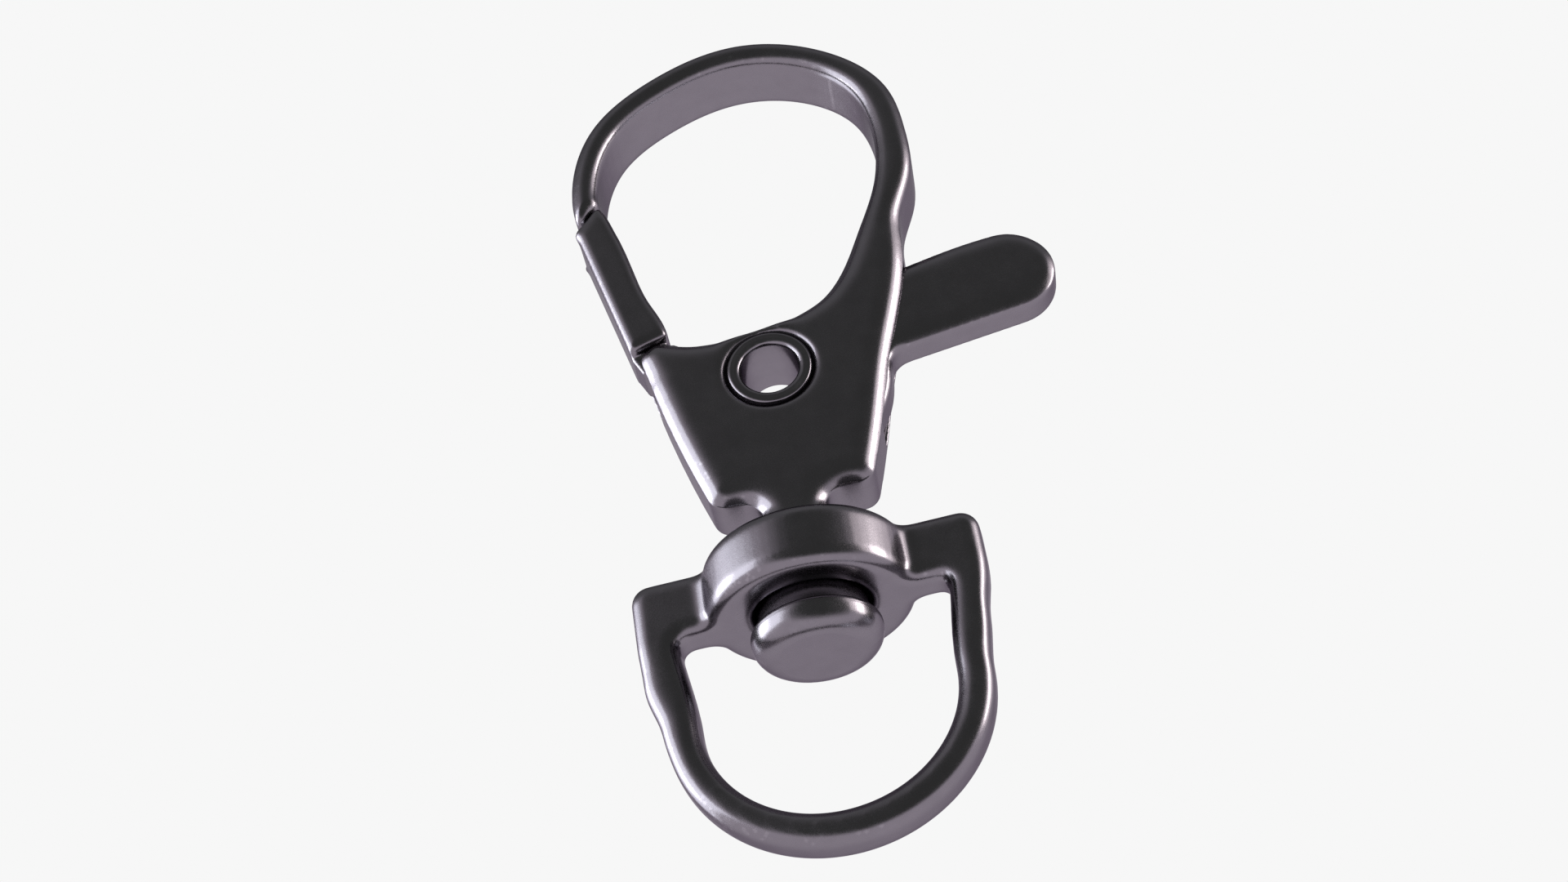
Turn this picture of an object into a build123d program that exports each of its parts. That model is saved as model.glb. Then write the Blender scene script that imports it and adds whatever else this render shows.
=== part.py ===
from build123d import *
from math import asin, cos, degrees, radians, sin, sqrt
import os

os.makedirs("parts", exist_ok=True)

# Swivel trigger snap hook.  The origin is where the pivot axis (Y) crosses the swivel
# axis (Z), in the middle of the body's thickness.  The hook is up and the strap eye down.
# Sizes are in millimetres and degrees, points of the front view are (x, z), front is -Y.

# ---- hook bowl: the opening that holds the ring ----------------------------------------
bowl_left = -7.65
bowl_right = 7.6
bowl_floor = 2.6
bowl_top = 21.1
stock_nose = 1.45         # width of the hook's section along its length
stock_top = 1.5
stock_corner = 1.8
stock_spine = 1.9
nose_tip = (-8.85, 11.8)

# ---- body ------------------------------------------------------------------------------
body_t = 4.0              # front to back
body_bottom = -7.5
base_left = -3.95
base_right = 4.1
flank_left = (-5.5, -2.3)
flank_right = (5.3, -3.4)
spine_foot = (6.2, 0.0)
spine_waist = (7.95, 6.6)
shoulder_side = (-6.5, 2.4)
shoulder_top = (-5.6, 3.0)
body_round = 0.65         # rounding of the casting's long edges
base_round = 0.9          # bottom corners, seen from the front
shoulder_round = 0.4
nose_round = 0.35

# ---- pivot eyelet ----------------------------------------------------------------------
bore_r = 1.5
eyelet_wall = 0.3
flange_lip = 0.4          # flange beyond the tube
flange_t = 0.4
flange_roll = 0.3
pivot_clear = 0.05        # running fit of the lever on the rivet, radial
rivet_gap = 0.02          # round the rivet in the body
recess_clear = 0.1
recess_roll = 0.35

# ---- gate and thumb lever --------------------------------------------------------------
gate_inset = 0.2          # gate's faces behind the body's
gate_gap = 0.08           # between the gate's tip and the nose, at the bowl's edge
gate_swing = 22.0
gate_round = 0.45
gate_corner = 0.3
lever_t = 2.2
lever_w = 4.85
lever_tilt = 9.5
lever_end = (13.05, 3.95)  # centre of the round end
lever_neck = [(4.2, 0.2), (5.6, 1.4)]   # reach and height where it passes under the bowl
blade_start = 6.3         # reach at which the lever has its full width
hub_side = 70.0           # angle at which the hub meets the lever
lever_round = 0.5
slot_side = 0.12          # clearance each side of the lever plate
slot_clear = 0.12         # clearance round its outline
hub_wall = 0.6
heel_r = 6.15             # closes the slot under the lever
heel_seat = 1.2           # reach of the heel below the spring's middle
heel_high = 0.6           # inside the lever's root
heel_blend = 1.1

# ---- return spring ---------------------------------------------------------------------
spring_r = 0.85           # to the middle of the wire
spring_wire = 0.25
spring_turns = 6
spring_drop = 0.95        # its middle below the hub
spring_seat = -0.6        # face of the heel that carries one end
spring_gap = 0.02
pocket_clear = 0.28       # between the spring and the pocket's round corner

# ---- neck, stud and collar -------------------------------------------------------------
neck_half = 1.55          # half the neck's width
neck_blend = 1.15
thrust_lip = 0.65         # thrust flange beyond the stud's shank
thrust_t = 0.7
thrust_round = 0.2
collar_r = 5.15
collar_top = -10.4
collar_bottom = -13.75
rim_round = 0.55
shank_r = 2.75
swivel_clear = 0.1
thrust_clear = 0.2
head_lip = 0.5            # head beyond the shank
head_top = -14.55
head_bottom = -16.1
head_round = 1.15
head_edge = 0.25
tenon_r = 1.2
tenon_top = -6.4

# ---- strap eye -------------------------------------------------------------------------
eye_turn = -4.6           # the eye hangs turned by this much about the swivel axis
eye_t = 2.4
loop_w = 1.75
loop_top_half = 7.65      # centreline half widths at the top and the middle of the loop
loop_half = 7.1
loop_mid = -18.7
loop_depth = 6.75
tab_half = 8.75
tab_round = 0.95
tab_taper = 2.2           # height over which a tab's side narrows to the loop
tab_blend = 0.8           # between a tab and the collar
loop_corner = 0.6
eye_round = 0.75

# Shape of the bowl's edge, from the nose over the top and down the spine to the floor,
# as shares of the bowl's half width and of its rise above the floor.
bowl_shape = [
    (-0.99, 0.55), (-0.95, 0.70), (-0.80, 0.825), (-0.42, 0.940), (0.10, 1.0),
    (0.60, 0.947), (0.90, 0.828), (1.0, 0.680), (0.93, 0.440), (0.77, 0.294),
    (0.55, 0.128), (0.43, 0.077), (0.27, 0.042), (-0.18, 0.0),
]
# Places along that edge, and the width of the stock there.
hook_stock = [
    (0.05, stock_nose), (0.12, stock_nose), (0.20, stock_nose), (0.30, stock_top),
    (0.40, stock_top), (0.48, stock_corner), (0.54, stock_corner), (0.60, stock_spine),
    (0.66, stock_spine),
]


def bowl_point(u, v):
    """A point of the bowl's edge, from its shares of the bowl's size."""
    middle = (bowl_left + bowl_right) / 2
    half = (bowl_right - bowl_left) / 2
    return (middle + u * half, bowl_floor + v * (bowl_top - bowl_floor))


lever_rise = lever_end[1] * cos(radians(lever_tilt)) - lever_end[0] * sin(radians(lever_tilt))
lever_reach = lever_end[0] * cos(radians(lever_tilt)) + lever_end[1] * sin(radians(lever_tilt))


def along_lever(reach, offset):
    """A point at a reach along the lever's middle line and an offset above it."""
    a = radians(lever_tilt)
    rise = lever_rise + offset
    return (reach * cos(a) - rise * sin(a), reach * sin(a) + rise * cos(a))


def polar(radius, angle):
    """A point at a radius from the pivot, at an angle above +X."""
    return (radius * cos(radians(angle)), radius * sin(radians(angle)))


slot_half = lever_t / 2 + slot_side
rivet_r = bore_r + eyelet_wall
flange_r = rivet_r + flange_lip
hub_r = rivet_r + pivot_clear + hub_wall
gate_t = body_t - 2 * gate_inset
blade_half = lever_w / 2
knee_angle = lever_tilt + degrees(asin((lever_rise - blade_half) / heel_r))
notch_angle = knee_angle - gate_swing - degrees(2 * heel_blend / heel_r)
cavity_r = heel_r + slot_clear
spring_z = -(hub_r + spring_drop)
heel_low = spring_z - heel_seat
# The spring's fixed end bears on a face that stops where the pocket's round corner begins.
spring_wall = -sqrt(cavity_r**2 - (spring_r + spring_wire / 2 + pocket_clear - spring_z) ** 2)
far = 12.0                       # beyond the body on any side
past = 1.0                       # a cut's reach past the face that it opens
thrust_r = shank_r + thrust_lip
head_r = shank_r + head_lip
flange_low = collar_top + thrust_clear
flange_high = flange_low + thrust_t
neck_low = flange_low + thrust_t / 2

# Gate, seen from the front: its tip lies along the nose, its foot inside the body's shoulder.
nose_in = Vector(*bowl_point(*bowl_shape[0]))
nose_run = (nose_in - Vector(*nose_tip)).normalized()
gate_tip_in = nose_in + Vector(nose_run.Y, -nose_run.X) * gate_gap
gate_tip_out = (-8.98, 11.3)
gate_inner = [(-6.25, 8.48), (-5.68, 6.13), (-5.1, 4.6), (-4.9, 3.5)]
gate_heel_out = (-6.98, 2.8)
gate_web_in = (-4.75, 3.3)
gate_web_out = (-6.5, 0.75)
web_root_in = (-1.9, 1.5)
web_root_out = (-1.2, -2.1)

# ---- hook body -------------------------------------------------------------------------
with BuildPart() as hook_body:
    with BuildSketch(Plane.XZ) as outline:
        with BuildLine() as outline_edge:
            bowl = Spline([*[bowl_point(u, v) for u, v in bowl_shape], shoulder_top])
            crown = []
            for place, width in hook_stock:
                run = bowl % place
                crown.append(bowl @ place + Vector(-run.Y, run.X) * width)
            right_corner = (base_right, body_bottom)
            left_corner = (base_left, body_bottom)
            Spline([nose_tip, *crown, spine_waist, spine_foot, flank_right, right_corner])
            Polyline(
                right_corner, (neck_half, body_bottom), (neck_half, neck_low),
                (-neck_half, neck_low), (-neck_half, body_bottom), left_corner,
            )
            ThreePointArc(left_corner, flank_left, shoulder_side)
            Line(shoulder_side, shoulder_top)
            Line(bowl @ 0, nose_tip)
        make_face()
        for corner, radius in (
            (right_corner, base_round), (left_corner, base_round),
            ((neck_half, body_bottom), neck_blend), ((-neck_half, body_bottom), neck_blend),
            (shoulder_side, shoulder_round), (shoulder_top, shoulder_round),
            (nose_tip, nose_round), (bowl_point(*bowl_shape[0]), nose_round),
        ):
            fillet(outline.vertices().sort_by_distance(corner)[0], radius)
    extrude(amount=body_t / 2, both=True)
    plate_faces = hook_body.faces().filter_by(Axis.Y).sort_by(Axis.Y)
    fillet(plate_faces[0].edges() + plate_faces[-1].edges(), body_round)

    # Round flange under the neck, which bears on the collar.
    with BuildSketch(Plane.XZ) as flange_profile:
        with Locations((thrust_r / 2, (flange_low + flange_high) / 2)):
            Rectangle(thrust_r, thrust_t)
        fillet(flange_profile.vertices().group_by(Axis.X)[-1], thrust_round)
    revolve(axis=Axis.Z)

    # Slot for the gate and lever, open to the bowl on the left and to the right side.
    with BuildSketch(Plane.XZ) as slot:
        Circle(hub_r + slot_clear)
        with BuildLine():
            Polyline(
                (-far, gate_web_out[1] - slot_clear), (gate_web_out[0], gate_web_out[1] - 2 * slot_clear),
                (web_root_out[0], web_root_out[1] - slot_clear), (0, 0),
                polar(hub_r / 2, hub_side), polar(2 * hub_r, hub_side), (-far, 2 * hub_r), close=True,
            )
        make_face()
        with BuildLine():
            Polyline(
                (0, 0), polar(hub_r + slot_clear, hub_side),
                *[along_lever(reach - slot_clear, rise + slot_clear) for reach, rise in lever_neck],
                along_lever(blade_start - slot_clear, blade_half + slot_clear),
                along_lever(far, blade_half + slot_clear), polar(far, notch_angle), close=True,
            )
        make_face()
    extrude(amount=slot_half, both=True, mode=Mode.SUBTRACT)
    with BuildSketch(Plane.XZ) as cavity:
        Circle(cavity_r)
        with Locations(((spring_wall + far) / 2, -far / 2)):
            Rectangle(far - spring_wall, far, mode=Mode.INTERSECT)
    extrude(amount=slot_half, both=True, mode=Mode.SUBTRACT)

    # Hole for the rivet, with a rounded recess for each of its flanges.
    with BuildSketch(Plane.XZ):
        Circle(rivet_r + rivet_gap)
    extrude(amount=body_t, both=True, mode=Mode.SUBTRACT)
    recess_r = flange_r + recess_clear
    with BuildSketch(Plane.XY) as recess:
        with BuildLine():
            face_y = -body_t / 2
            floor_y = face_y + flange_t
            lip = Line((recess_r, floor_y), (recess_r, face_y + recess_roll))
            roll = TangentArc(lip @ 1, (recess_r + recess_roll, face_y), tangent=(0, -1))
            Polyline(
                roll @ 1, (recess_r + recess_roll, face_y - past), (0, face_y - past),
                (0, floor_y), lip @ 0,
            )
        make_face()
        mirror(about=Plane.XZ)
    revolve(axis=Axis.Y, mode=Mode.SUBTRACT)

    # Bore for the stud's tenon.
    with BuildSketch(Plane.XY.offset(flange_low)):
        Circle(tenon_r)
    extrude(amount=tenon_top - flange_low, mode=Mode.SUBTRACT)

# ---- gate, hub and thumb lever ---------------------------------------------------------
with BuildPart() as gate_lever:
    with BuildSketch(Plane.XZ) as plate:
        with BuildLine():
            Polyline(
                gate_web_in, (gate_heel_out[0], gate_web_in[1]), gate_heel_out, gate_web_out,
                web_root_out, web_root_in, close=True,
            )
        make_face()
        with BuildLine():
            Polyline(
                (0, 0), polar(hub_r, hub_side), *[along_lever(*point) for point in lever_neck],
                along_lever(blade_start, blade_half), along_lever(lever_reach, blade_half),
                along_lever(lever_reach, -blade_half), along_lever(hub_r, -blade_half), close=True,
            )
        make_face()
        with Locations(lever_end):
            Circle(blade_half)
        with BuildSketch(mode=Mode.PRIVATE) as heel:
            Circle(heel_r)
            with Locations(((spring_seat + far) / 2, (heel_low + heel_high) / 2)):
                Rectangle(far - spring_seat, heel_high - heel_low, mode=Mode.INTERSECT)
        add(heel.sketch)
        Circle(hub_r)
        fillet(plate.vertices().sort_by_distance(polar(heel_r, knee_angle))[0], heel_blend)
    extrude(amount=lever_t / 2, both=True)
    blade_faces = gate_lever.faces().filter_by(Axis.Y)
    fillet(blade_faces.edges().filter_by(lambda e: e.center().X > blade_start), lever_round)

    with BuildSketch(Plane.XZ) as arm:
        with BuildLine():
            inner_edge = Spline([gate_tip_in, *gate_inner])
            Polyline(inner_edge @ 1, gate_heel_out, gate_tip_out, gate_tip_in)
        make_face()
        fillet(arm.vertices(), gate_corner)
    extrude(amount=gate_t / 2, both=True)
    arm_faces = gate_lever.faces().filter_by(Axis.Y).sort_by(Axis.Y)
    fillet(arm_faces[0].edges() + arm_faces[-1].edges(), gate_round)
    with BuildSketch(Plane.XZ):
        Circle(rivet_r + pivot_clear)
    extrude(amount=gate_t, both=True, mode=Mode.SUBTRACT)

# ---- pivot eyelet ----------------------------------------------------------------------
with BuildPart() as pivot_eyelet:
    with BuildSketch(Plane.XY) as tube:
        with BuildLine():
            face_y = -body_t / 2
            Polyline(
                (bore_r, 0), (bore_r, face_y), (flange_r, face_y), (flange_r, face_y + flange_t),
                (rivet_r, face_y + flange_t), (rivet_r, 0), close=True,
            )
        make_face()
        fillet(tube.vertices().sort_by_distance((bore_r, face_y))[0], flange_roll)
        fillet(tube.vertices().sort_by_distance((flange_r, face_y))[0], flange_t / 2)
        mirror(about=Plane.XZ)
    revolve(axis=Axis.Y)

# ---- return spring ---------------------------------------------------------------------
with BuildPart() as return_spring:
    coil_start = spring_wall + spring_wire / 2 + spring_gap
    coil_end = spring_seat - spring_wire / 2 - spring_gap
    with BuildLine():
        coil = Helix(
            (coil_end - coil_start) / spring_turns, coil_end - coil_start, spring_r,
            center=(coil_start, 0, spring_z), direction=(1, 0, 0),
        )
    with BuildSketch(Plane(origin=coil @ 0, z_dir=coil % 0)):
        Circle(spring_wire / 2)
    sweep(is_frenet=True)

# ---- swivel stud -----------------------------------------------------------------------
with BuildPart() as swivel_stud:
    with BuildSketch(Plane.XZ) as stud_profile:
        with BuildLine():
            Polyline(
                (0, tenon_top), (tenon_r, tenon_top), (tenon_r, flange_low), (shank_r, flange_low),
                (shank_r, head_top), (head_r, head_top), (head_r, head_bottom), (0, head_bottom),
                close=True,
            )
        make_face()
        fillet(stud_profile.vertices().sort_by_distance((head_r, head_bottom))[0], head_round)
        fillet(stud_profile.vertices().sort_by_distance((head_r, head_top))[0], head_edge)
    revolve(axis=Axis.Z)

# ---- strap eye -------------------------------------------------------------------------
def loop_leg(inset, top):
    """Draw the right leg of the strap loop down to its middle, inset from its centreline."""
    lean = Vector(loop_half - loop_top_half, loop_mid - collar_bottom).normalized()
    ends = [(loop_top_half - inset, top), (loop_half - inset, loop_mid)]
    return Spline(ends, tangents=[lean, (0, -1)])


def loop_bottom(inset):
    """Draw the round bottom of the strap loop, inset from its centreline."""
    EllipticalCenterArc((0, loop_mid), loop_half - inset, loop_depth - inset, 180, arc_size=180)


with BuildPart() as swivel_eye:
    with BuildSketch(Plane.XZ) as eye_outline:
        with BuildLine():
            outer_leg = loop_leg(-loop_w / 2, collar_bottom - tab_taper)
            shoulder = Spline([(tab_half, collar_bottom), outer_leg @ 0], tangents=[(0, -1), outer_leg % 0])
            tab_side = Line((tab_half, collar_top), shoulder @ 0)
            mirror([outer_leg, shoulder, tab_side], about=Plane.YZ)
            Line((-tab_half, collar_top), (tab_half, collar_top))
            loop_bottom(-loop_w / 2)
        make_face()
        fillet(eye_outline.vertices().group_by(Axis.Y)[-1], tab_round)
        with BuildLine():
            inner_leg = loop_leg(loop_w / 2, collar_bottom)
            mirror(inner_leg, about=Plane.YZ)
            Line(inner_leg @ 0, (-(inner_leg @ 0).X, collar_bottom))
            loop_bottom(loop_w / 2)
        make_face(mode=Mode.SUBTRACT)
        for side in (-1, 1):
            corner = (side * (loop_top_half - loop_w / 2), collar_bottom)
            fillet(eye_outline.vertices().sort_by_distance(corner)[0], loop_corner)
    extrude(amount=eye_t / 2, both=True)

    # Collar, blended into a tab at each side.
    with BuildSketch(Plane.XY.offset(collar_bottom)) as collar:
        Circle(collar_r)
        Rectangle(2 * (tab_half - tab_round), eye_t)
        fillet(collar.vertices().filter_by(lambda v: abs(v.X) < collar_r), tab_blend)
    extrude(amount=collar_top - collar_bottom)
    blend_x = sqrt((collar_r + tab_blend) ** 2 - (eye_t / 2 + tab_blend) ** 2)
    beside = blend_x + tab_blend
    flats = swivel_eye.faces().filter_by(Axis.Y) + swivel_eye.faces().filter_by(Axis.Z)
    seams = swivel_eye.edges().filter_by(Axis.Z).filter_by(lambda e: abs(e.center().X) < beside)
    fillet(flats.edges() - seams, eye_round)
    hole_r = shank_r + swivel_clear
    with BuildSketch(Plane.XZ) as hole_profile:
        with BuildLine():
            wall = Line((hole_r, collar_bottom + rim_round), (hole_r, collar_top - rim_round))
            upper = TangentArc(wall @ 1, (hole_r + rim_round, collar_top), tangent=(0, 1))
            lower = TangentArc(wall @ 0, (hole_r + rim_round, collar_bottom), tangent=(0, -1))
            Polyline(
                upper @ 1, (hole_r + rim_round, collar_top + past), (0, collar_top + past),
                (0, collar_bottom - past), (hole_r + rim_round, collar_bottom - past), lower @ 1,
            )
        make_face()
    revolve(axis=Axis.Z, mode=Mode.SUBTRACT)

pieces = {
    "hook_body": hook_body.part, "gate_lever": gate_lever.part, "pivot_eyelet": pivot_eyelet.part,
    "return_spring": return_spring.part, "swivel_stud": swivel_stud.part,
    "swivel_eye": swivel_eye.part.rotate(Axis.Z, eye_turn),
}
for name, piece in pieces.items():
    piece.label = name
    export_step(piece, f"parts/{name}.step")
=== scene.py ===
import bpy, math
from mathutils import Matrix, Vector
from mathutils.kdtree import KDTree


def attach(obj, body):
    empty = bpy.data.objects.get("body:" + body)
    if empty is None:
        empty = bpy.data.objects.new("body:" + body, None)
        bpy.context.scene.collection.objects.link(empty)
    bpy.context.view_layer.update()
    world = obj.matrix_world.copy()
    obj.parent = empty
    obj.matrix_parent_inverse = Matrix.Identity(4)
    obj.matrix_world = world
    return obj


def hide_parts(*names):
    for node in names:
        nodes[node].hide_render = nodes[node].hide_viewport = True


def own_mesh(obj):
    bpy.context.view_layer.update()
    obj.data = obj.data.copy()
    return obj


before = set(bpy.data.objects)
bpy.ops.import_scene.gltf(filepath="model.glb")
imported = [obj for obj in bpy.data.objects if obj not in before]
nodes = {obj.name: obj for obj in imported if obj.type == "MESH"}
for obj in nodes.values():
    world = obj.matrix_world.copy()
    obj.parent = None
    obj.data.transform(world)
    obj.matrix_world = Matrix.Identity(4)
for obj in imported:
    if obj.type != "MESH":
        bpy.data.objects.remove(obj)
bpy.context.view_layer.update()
scene = bpy.context.scene
MM = 0.001

# ---- camera: looks up at the front of the clasp from below, tilted a little ---------------
LENS = 58.95
SENSOR = 36.0
CLIP_NEAR, CLIP_FAR = 0.001, 10.0
CAMERA_AT = Vector((3.721, -106.656, -77.714)) * MM
CAMERA_RIGHT = Vector((0.9809, 0.1331, -0.1421))
CAMERA_UP = Vector((0.1926, -0.5568, 0.8080))


def make_camera():
    """Create the camera at the photograph's angle."""
    data = bpy.data.cameras.new("camera")
    data.lens = LENS
    data.sensor_width = SENSOR
    data.clip_start = CLIP_NEAR
    data.clip_end = CLIP_FAR
    camera = bpy.data.objects.new("camera", data)
    scene.collection.objects.link(camera)
    right = CAMERA_RIGHT.normalized()
    up = (CAMERA_UP - right * CAMERA_UP.dot(right)).normalized()
    back = right.cross(up)
    turn = Matrix((right, up, back)).transposed()
    camera.matrix_world = Matrix.Translation(CAMERA_AT) @ turn.to_4x4()
    scene.camera = camera


make_camera()

# ---- materials ----------------------------------------------------------------------------
DARK = (0.235, 0.225, 0.24)
# painted highlight: the lighter metal colour that convex edges are given in patches
PAINTED_EDGE_HIGHLIGHT = (0.36, 0.35, 0.365)
GRAZING = (0.42, 0.40, 0.43, 1.0)
DARKER, LIGHTER = 0.96, 1.04            # how far blotches shift the dark colour
WAVE_SCALE = 420.0                      # noise scales, from coarse to fine
BLOTCH_SCALE = 900.0
STEEL_SCALE = 2500.0
GRIT_SCALE = 13000.0
MIDDLE = (0.3, 0.7)                     # the part of a noise's range that is used
EDGE_POINTINESS = (0.53, 0.64)
EDGE_HIGHLIGHT_PATCHES = (0.4, 0.7, 0.1, 0.8)        # blotch values, and how much of a convex edge gets the painted highlight
BLOTCH_ROUGH = (-0.015, 0.02)
GRIT_ROUGH = 0.05
WAVE_BUMP, WAVE_DEPTH = 0.12, 0.03 * MM
GRIT_BUMP, GRIT_DEPTH = 0.35, 0.006 * MM
STEEL_DARK = (0.30, 0.30, 0.31)
STEEL_LIGHT = (0.46, 0.46, 0.47)
STEEL_ROUGH = 0.3


class Graph:
    """Adds nodes to a material one after another and links them."""

    def __init__(self, name):
        self.material = bpy.data.materials.new(name)
        self.material.use_nodes = True
        self.tree = self.material.node_tree
        self.shader = self.tree.nodes["Principled BSDF"]

    def add(self, kind, **settings):
        node = self.tree.nodes.new(kind)
        for key, value in settings.items():
            setattr(node, key, value)
        return node

    def link(self, source, target):
        self.tree.links.new(source, target)

    def noise(self, scale, detail=3.0, roughness=0.55):
        node = self.add("ShaderNodeTexNoise")
        self.link(self.coordinates(), node.inputs["Vector"])
        node.inputs["Scale"].default_value = scale
        node.inputs["Detail"].default_value = detail
        node.inputs["Roughness"].default_value = roughness
        return node.outputs["Fac"]

    def coordinates(self):
        found = self.tree.nodes.get("coordinates")
        if found is None:
            found = self.add("ShaderNodeTexCoord", name="coordinates")
        return found.outputs["Object"]

    def ramp(self, source, low, high, to_low=0.0, to_high=1.0):
        node = self.add("ShaderNodeMapRange", clamp=True)
        self.link(source, node.inputs["Value"])
        node.inputs["From Min"].default_value = low
        node.inputs["From Max"].default_value = high
        node.inputs["To Min"].default_value = to_low
        node.inputs["To Max"].default_value = to_high
        return node.outputs["Result"]

    def math(self, operation, a, b):
        node = self.add("ShaderNodeMath", operation=operation)
        self.link(a, node.inputs[0])
        self.link(b, node.inputs[1])
        return node.outputs[0]

    def mix(self, factor, a, b):
        node = self.add("ShaderNodeMix", data_type="RGBA")
        self.link(factor, node.inputs["Factor"])
        for socket, value in ((node.inputs[6], a), (node.inputs[7], b)):
            if isinstance(value, tuple):
                socket.default_value = (*value, 1.0)
            else:
                self.link(value, socket)
        return node.outputs[2]

    def bump(self, height, strength, distance, normal=None):
        node = self.add("ShaderNodeBump")
        node.inputs["Strength"].default_value = strength
        node.inputs["Distance"].default_value = distance
        self.link(height, node.inputs["Height"])
        if normal is not None:
            self.link(normal, node.inputs["Normal"])
        return node.outputs["Normal"]


def gunmetal(name, roughness, grain=1.0):
    """Black nickel plating over a die casting: fine grain, soft waves, and a painted highlight
    that lightens the convex edges in patches.
    """
    g = Graph(name)
    shader = g.shader
    shader.inputs["Metallic"].default_value = 1.0
    shader.inputs["Specular Tint"].default_value = GRAZING
    waves = g.noise(WAVE_SCALE, detail=2.0)
    grit = g.noise(GRIT_SCALE, detail=2.0, roughness=0.7)
    blotch = g.noise(BLOTCH_SCALE, detail=4.0, roughness=0.6)
    geometry = g.add("ShaderNodeNewGeometry")
    # painted highlight: convex edges, broken up by the blotch noise, are mixed towards a
    # lighter colour
    edge = g.ramp(geometry.outputs["Pointiness"], *EDGE_POINTINESS)
    edge = g.math("MULTIPLY", edge, g.ramp(blotch, *EDGE_HIGHLIGHT_PATCHES))
    darker = tuple(DARKER * c for c in DARK)
    lighter = tuple(LIGHTER * c for c in DARK)
    tint = g.mix(g.ramp(blotch, *MIDDLE), darker, lighter)
    g.link(g.mix(edge, tint, PAINTED_EDGE_HIGHLIGHT), shader.inputs["Base Color"])
    blotched = g.ramp(blotch, *MIDDLE, *BLOTCH_ROUGH)
    gritty = g.ramp(grit, *MIDDLE, roughness - GRIT_ROUGH, roughness + GRIT_ROUGH)
    g.link(g.math("ADD", blotched, gritty), shader.inputs["Roughness"])
    skin = g.bump(waves, WAVE_BUMP, WAVE_DEPTH)
    g.link(g.bump(grit, GRIT_BUMP * grain, GRIT_DEPTH, skin), shader.inputs["Normal"])
    return g.material


def spring_steel(name):
    """Bright drawn wire."""
    g = Graph(name)
    g.shader.inputs["Metallic"].default_value = 1.0
    colour = g.mix(g.noise(STEEL_SCALE), STEEL_DARK, STEEL_LIGHT)
    g.link(colour, g.shader.inputs["Base Color"])
    g.shader.inputs["Roughness"].default_value = STEEL_ROUGH
    return g.material


def dress(node, material):
    """Give a CAD node that is shown as it is one material."""
    slots = nodes[node].material_slots
    for entry in slots:
        entry.material = material
    if not slots:
        nodes[node].data.materials.append(material)


# ---- tools that soften a casting ----------------------------------------------------------
VOXEL = 0.09 * MM
RELAX = 0.5                             # how far one smoothing pass moves a point
SIDE_NORMAL = 0.5                       # a side's normal leans less than this to the front


def ramp(value, low, high):
    """0 at low, 1 at high, smooth between."""
    t = min(max((value - low) / (high - low), 0.0), 1.0)
    return t * t * (3 - 2 * t)


def settled(piece):
    """Replace a piece's mesh by what its modifiers make of it."""
    depsgraph = bpy.context.evaluated_depsgraph_get()
    shape = bpy.data.meshes.new_from_object(piece.evaluated_get(depsgraph))
    piece.modifiers.clear()
    piece.data = shape


def remeshed(node):
    """Copy a CAD node as a dense, even mesh."""
    piece = bpy.data.objects.new(node + "_cast", nodes[node].data.copy())
    scene.collection.objects.link(piece)
    remesh = piece.modifiers.new("remesh", "REMESH")
    remesh.mode = "VOXEL"
    remesh.voxel_size = VOXEL
    remesh.use_smooth_shade = True
    settled(piece)
    return piece


def smooth(piece, passes, weight):
    """Smooth a dense mesh as far as weight says at each point."""
    relax = piece.modifiers.new("smooth", "SMOOTH")
    relax.factor = RELAX
    relax.iterations = passes
    group = piece.vertex_groups.new(name="weight")
    for vertex in piece.data.vertices:
        group.add([vertex.index], weight(vertex.co), "REPLACE")
    relax.vertex_group = "weight"
    settled(piece)
    piece.vertex_groups.clear()


def crown(piece, keep, reach, weight):
    """Slope a plate's two faces down towards its outline, within reach of it.

    Points nearer to the middle plane than keep stay, so the sides keep their place.
    """
    vertices = piece.data.vertices
    sides = [
        v.co for v in vertices
        if keep < abs(v.co.y) < keep + 2 * VOXEL
        and abs(v.normal.y) < SIDE_NORMAL
        and weight(v.co) > 0.0
    ]
    tree = KDTree(len(sides))
    for index, point in enumerate(sides):
        tree.insert((point.x, 0.0, point.z), index)
    tree.balance()
    for vertex in vertices:
        point = vertex.co
        height = abs(point.y) - keep
        share = weight(point) if height > 0.0 else 0.0
        if share > 0.0:
            inward = min(tree.find((point.x, 0.0, point.z))[2] / reach, 1.0)
            drop = share * (1.0 - math.sqrt(1.0 - (1.0 - inward) ** 2))
            point.y = math.copysign(keep + height * (1.0 - drop), point.y)


def nudge(piece, centre, reach, shift):
    """Move the points round a place of the front view by a shift that fades out at reach.

    All three are x and z in millimetres.
    """
    for vertex in piece.data.vertices:
        point = vertex.co
        away = math.hypot(
            (point.x / MM - centre[0]) / reach[0], (point.z / MM - centre[1]) / reach[1])
        if away < 1.0:
            share = ramp(away, 1.0, 0.0)
            point.x += share * shift[0] * MM
            point.z += share * shift[1] * MM


def from_pivot(point):
    """Distance from the pivot's axis."""
    return math.hypot(point.x, point.z)


def stand_for(piece, node, body, material):
    """Show a piece in place of a CAD node."""
    piece.data.materials.clear()
    piece.data.materials.append(material)
    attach(piece, body)
    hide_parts(node)


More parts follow.
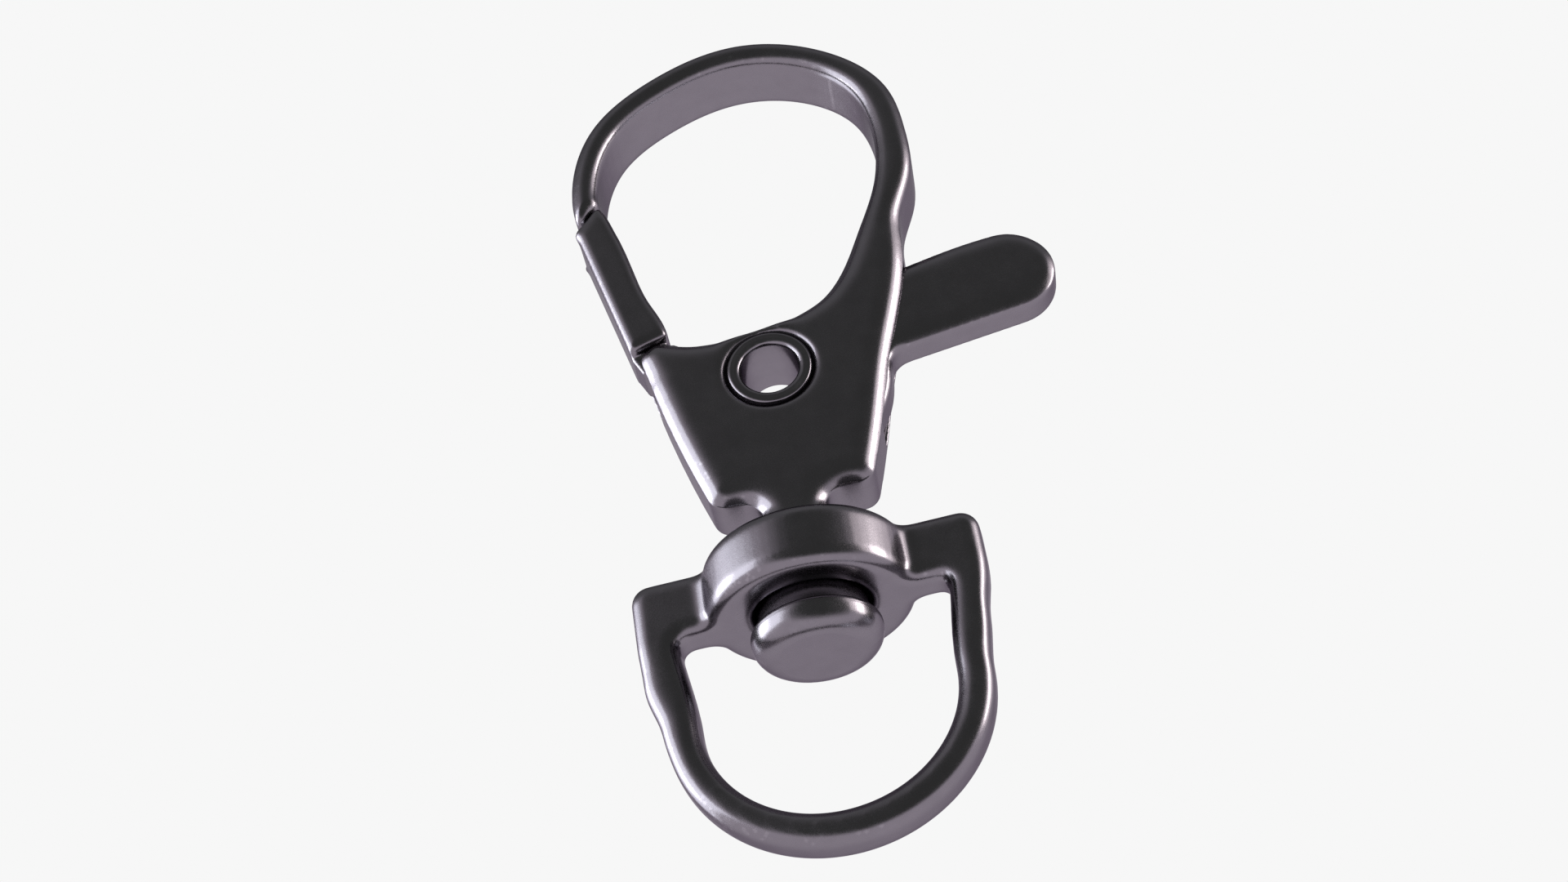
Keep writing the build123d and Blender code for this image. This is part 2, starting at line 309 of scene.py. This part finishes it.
# ---- hook body ----------------------------------------------------------------------------
# A pair of lengths below runs from where a change starts to where it is whole.
TOP_SHARE = 0.15                        # the share of the crown that the hook's top gets
UP_THE_HOOK = (13.0 * MM, 4.0 * MM)
ABOVE_THE_FLANGE = (-9.2 * MM, -8.2 * MM)
ROUND_THE_RIVET = (2.7 * MM, 3.6 * MM)
RIM_LEFT = 2.5 * MM
RIM_LOW, RIM_HIGH = -6.0 * MM, 8.5 * MM
RIM_INSIDE = (1.5 * MM, 1.3 * MM)
ROUND_THE_HUB = (4.4 * MM, 5.2 * MM)
WALL_NEAR, WALL_FAR = 1.1 * MM, 1.3 * MM
SLOT_SHIFT = 0.07 * MM
RIM_HOLD = 0.85                         # the share of the smoothing that the rims are spared
NOSE_RISE = {"centre": (-7.5, 12.8), "reach": (2.0, 2.0), "shift": (0.0, 0.35)}
SHOULDER_RISE = {"centre": (-5.7, 2.9), "reach": (2.2, 2.2), "shift": (-0.1, 0.27)}


def body_crown(point):
    """Where the hook body's faces are crowned: not round the rivet, and less up the hook."""
    share = TOP_SHARE + (1.0 - TOP_SHARE) * ramp(point.z, *UP_THE_HOOK)
    share *= ramp(point.z, *ABOVE_THE_FLANGE)
    return share * ramp(from_pivot(point), *ROUND_THE_RIVET)


def right_rim(point):
    """1 on the rims of the slot where it opens at the body's right side."""
    if point.x < RIM_LEFT or not RIM_LOW < point.z < RIM_HIGH:
        return 0.0
    return ramp(abs(point.y), *RIM_INSIDE) * ramp(from_pivot(point), *ROUND_THE_HUB)


def narrow_slot(piece):
    """Bring the slot's rims at the right side close to the lever."""
    for vertex in piece.data.vertices:
        point = vertex.co
        if WALL_NEAR < abs(point.y) < WALL_FAR:
            point.y -= math.copysign(SLOT_SHIFT * right_rim(point), point.y)


hook = remeshed("hook_body")
crown(hook, keep=1.3 * MM, reach=1.25 * MM, weight=body_crown)
narrow_slot(hook)
nudge(hook, **NOSE_RISE)
nudge(hook, **SHOULDER_RISE)
smooth(hook, passes=24, weight=lambda point: 1.0 - RIM_HOLD * right_rim(point))
body_metal = gunmetal("gunmetal_body", roughness=0.23)
stand_for(hook, "hook_body", "hook", body_metal)

# ---- gate and thumb lever -----------------------------------------------------------------
TIP_AXIS = Vector((-0.607, 0.0, 0.795))
TIP_PLANE = 14.67 * MM                  # where the gate meets the nose, along the axis
TIP_REACH = 0.5 * MM
TIP_EDGES = (0.9 * MM, 1.5 * MM)
TIP_SHARE = 0.75
WEB_TOP = 2.8 * MM
WEB_RIGHT = -4.0 * MM
WEB_FADE = (-4.2 * MM, -5.6 * MM)
WEB_SHARE = 0.5
LEVER_START = (6.3 * MM, 7.3 * MM)
HEEL_START = (1.0 * MM, 2.0 * MM)
HEEL_END = (6.9 * MM, 6.3 * MM)
HEEL_HOLD = 0.85                        # the share of the smoothing that the heel is spared
LEVER_RISE = {"centre": (10.5, 7.0), "reach": (5.0, 3.0), "shift": (0.1, 0.3)}


def square_tip(piece):
    """Bring the gate's rounded front and back edges up to the plane where it meets the nose."""
    for vertex in piece.data.vertices:
        point = vertex.co
        behind = TIP_PLANE - point.dot(TIP_AXIS)
        if 0.0 < behind < TIP_REACH:
            outer = ramp(abs(point.y), *TIP_EDGES)
            point += TIP_AXIS * behind * TIP_SHARE * outer


def raise_web(piece):
    """Draw up the foot of the gate where it shows in the slot beside the body's flank."""
    for vertex in piece.data.vertices:
        point = vertex.co
        below = WEB_TOP - point.z
        if below > 0.0 and point.x < WEB_RIGHT:
            point.z += WEB_SHARE * below * ramp(point.x, *WEB_FADE)


def lever_crown(point):
    """Where the thumb lever's faces are crowned."""
    return ramp(point.x, *LEVER_START)


def lever_heel(point):
    """1 on the part of the lever that fills the slot."""
    return ramp(point.x, *HEEL_START) * ramp(from_pivot(point), *HEEL_END)


gate = remeshed("gate_lever")
crown(gate, keep=0.75 * MM, reach=1.0 * MM, weight=lever_crown)
square_tip(gate)
raise_web(gate)
nudge(gate, **NOSE_RISE)
nudge(gate, **LEVER_RISE)
smooth(gate, passes=20, weight=lambda point: 1.0 - HEEL_HOLD * lever_heel(point))
gate_metal = gunmetal("gunmetal_gate", roughness=0.23)
stand_for(gate, "gate_lever", "gate", gate_metal)

# ---- swivel eye, stud, rivet and spring ---------------------------------------------------
COLLAR_SHARE = 0.3                      # the share of the smoothing that the collar gets
LOOP_START = (-14.0 * MM, -15.5 * MM)
LEFT_LEG = {"centre": (-9.2, -17.4), "reach": (2.6, 3.4), "shift": (-0.3, 0.0)}
RIGHT_LEG = {"centre": (9.0, -15.8), "reach": (1.8, 3.0), "shift": (-0.25, 0.0)}


def strap_loop(point):
    """How much of the smoothing the swivel eye gets: all of it on the strap loop."""
    return COLLAR_SHARE + (1.0 - COLLAR_SHARE) * ramp(point.z, *LOOP_START)


eye = remeshed("swivel_eye")
nudge(eye, **LEFT_LEG)
nudge(eye, **RIGHT_LEG)
smooth(eye, passes=60, weight=strap_loop)
eye_metal = gunmetal("gunmetal_eye", roughness=0.23)
stand_for(eye, "swivel_eye", "eye", eye_metal)
dress("swivel_stud", gunmetal("gunmetal_stud", roughness=0.24))
dress("pivot_eyelet", gunmetal("gunmetal_rivet", roughness=0.2, grain=0.5))
spring = bpy.data.objects.new("return_spring_coil", nodes["return_spring"].data.copy())
scene.collection.objects.link(spring)
stand_for(spring, "return_spring", "hook", spring_steel("spring_wire"))
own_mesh(spring)

# ---- floor, backdrop and lights -----------------------------------------------------------
FLOOR_SIZE = 12.0
FLOOR_HEIGHT = -0.2
FLOOR_COLOUR = (0.86, 0.82, 0.87, 1)
FLOOR_ROUGH = 0.9
FLOOR_SPECULAR = 0.1
BACKDROP = (0.93, 0.93, 0.93, 1)        # what the camera sees round the object
PALE_AROUND = (0.88, 0.80, 0.90, 1)     # what the metal reflects from the sides and below
DIM_ABOVE = (0.25, 0.25, 0.26, 1)
DARK_IN_FRONT = (0.095, 0.098, 0.095, 1)
ABOVE = (0.40, 0.80)                    # rise of a direction: pale to dim
FRONT = (0.25, -0.967, 0.04)
NEAR_FRONT = (0.45, 0.80)               # closeness of a direction to the front: dark at 0.80
LIGHTS = (                              # azimuth, elevation, distance, size, power, colour
    ("left_box", -90, 8, 0.3, (0.50, 0.27), 1.05, (0.88, 0.92, 1.0)),
    ("left_core", -95, 9, 0.3, (0.12, 0.16), 0.45, (0.95, 0.97, 1.0)),
    ("right_box", 86, 14, 0.3, (0.26, 0.25), 0.25, (1.0, 0.90, 0.88)),
    ("right_core", 84, 10, 0.3, (0.08, 0.18), 0.32, (1.0, 0.93, 0.91)),
)
FLOOR_LIGHT = ("floor_light", 0, 90, 0.8, (0.8, 0.8), 3.0, (1.0, 1.0, 1.0))


def make_floor():
    """Lay a pale floor well below the object, lower than the camera."""
    bpy.ops.mesh.primitive_plane_add(size=FLOOR_SIZE, location=(0, 0, FLOOR_HEIGHT))
    floor = bpy.context.object
    floor.name = "floor"
    pale = bpy.data.materials.new("pale_floor")
    pale.use_nodes = True
    shader = pale.node_tree.nodes["Principled BSDF"]
    shader.inputs["Base Color"].default_value = FLOOR_COLOUR
    shader.inputs["Roughness"].default_value = FLOOR_ROUGH
    shader.inputs["Specular IOR Level"].default_value = FLOOR_SPECULAR
    floor.data.materials.append(pale)
    floor.visible_glossy = False


def make_world():
    """A pale backdrop, and a studio that is dim above and dark in front for the reflections."""
    world = bpy.data.worlds.new("studio")
    scene.world = world
    world.use_nodes = True
    tree = world.node_tree
    tree.nodes.clear()

    def add(kind, **settings):
        node = tree.nodes.new(kind)
        for key, value in settings.items():
            setattr(node, key, value)
        return node

    def fade(source, low, high):
        node = add("ShaderNodeMapRange", interpolation_type="SMOOTHSTEP")
        node.inputs["From Min"].default_value = low
        node.inputs["From Max"].default_value = high
        tree.links.new(source, node.inputs["Value"])
        return node.outputs["Result"]

    direction = add("ShaderNodeTexCoord")
    split = add("ShaderNodeSeparateXYZ")
    tree.links.new(direction.outputs["Generated"], split.inputs[0])
    rise = fade(split.outputs["Z"], *ABOVE)
    around = add("ShaderNodeMix", data_type="RGBA")
    around.inputs[6].default_value = PALE_AROUND
    around.inputs[7].default_value = DIM_ABOVE
    tree.links.new(rise, around.inputs["Factor"])
    facing = add("ShaderNodeVectorMath", operation="DOT_PRODUCT")
    facing.inputs[1].default_value = FRONT
    tree.links.new(direction.outputs["Generated"], facing.inputs[0])
    front = fade(facing.outputs["Value"], *NEAR_FRONT)
    shade = add("ShaderNodeMix", data_type="RGBA")
    shade.inputs[7].default_value = DARK_IN_FRONT
    tree.links.new(front, shade.inputs["Factor"])
    tree.links.new(around.outputs[2], shade.inputs[6])
    reflected = add("ShaderNodeBackground")
    tree.links.new(shade.outputs[2], reflected.inputs["Color"])
    seen = add("ShaderNodeBackground")
    seen.inputs["Color"].default_value = BACKDROP
    path = add("ShaderNodeLightPath")
    either = add("ShaderNodeMixShader")
    tree.links.new(path.outputs["Is Camera Ray"], either.inputs["Fac"])
    tree.links.new(reflected.outputs[0], either.inputs[1])
    tree.links.new(seen.outputs[0], either.inputs[2])
    tree.links.new(either.outputs[0], add("ShaderNodeOutputWorld").inputs["Surface"])


def make_light(name, azimuth, elevation, distance, size, power, colour):
    """A soft box that faces the object, azimuth 0 in front and 90 at the right."""
    a, e = math.radians(azimuth), math.radians(elevation)
    toward = Vector((math.sin(a) * math.cos(e), -math.cos(a) * math.cos(e), math.sin(e)))
    data = bpy.data.lights.new(name, "AREA")
    data.shape = "RECTANGLE"
    data.size, data.size_y = size
    data.energy = power
    data.color = colour
    light = bpy.data.objects.new(name, data)
    scene.collection.objects.link(light)
    light.location = toward * distance
    light.rotation_euler = toward.to_track_quat("Z", "Y").to_euler()
    light.visible_camera = False
    return light


scene.view_settings.view_transform = "Standard"
make_floor()
make_world()
for settings in LIGHTS:
    make_light(*settings)
overhead = make_light(*FLOOR_LIGHT)
overhead.visible_glossy = False
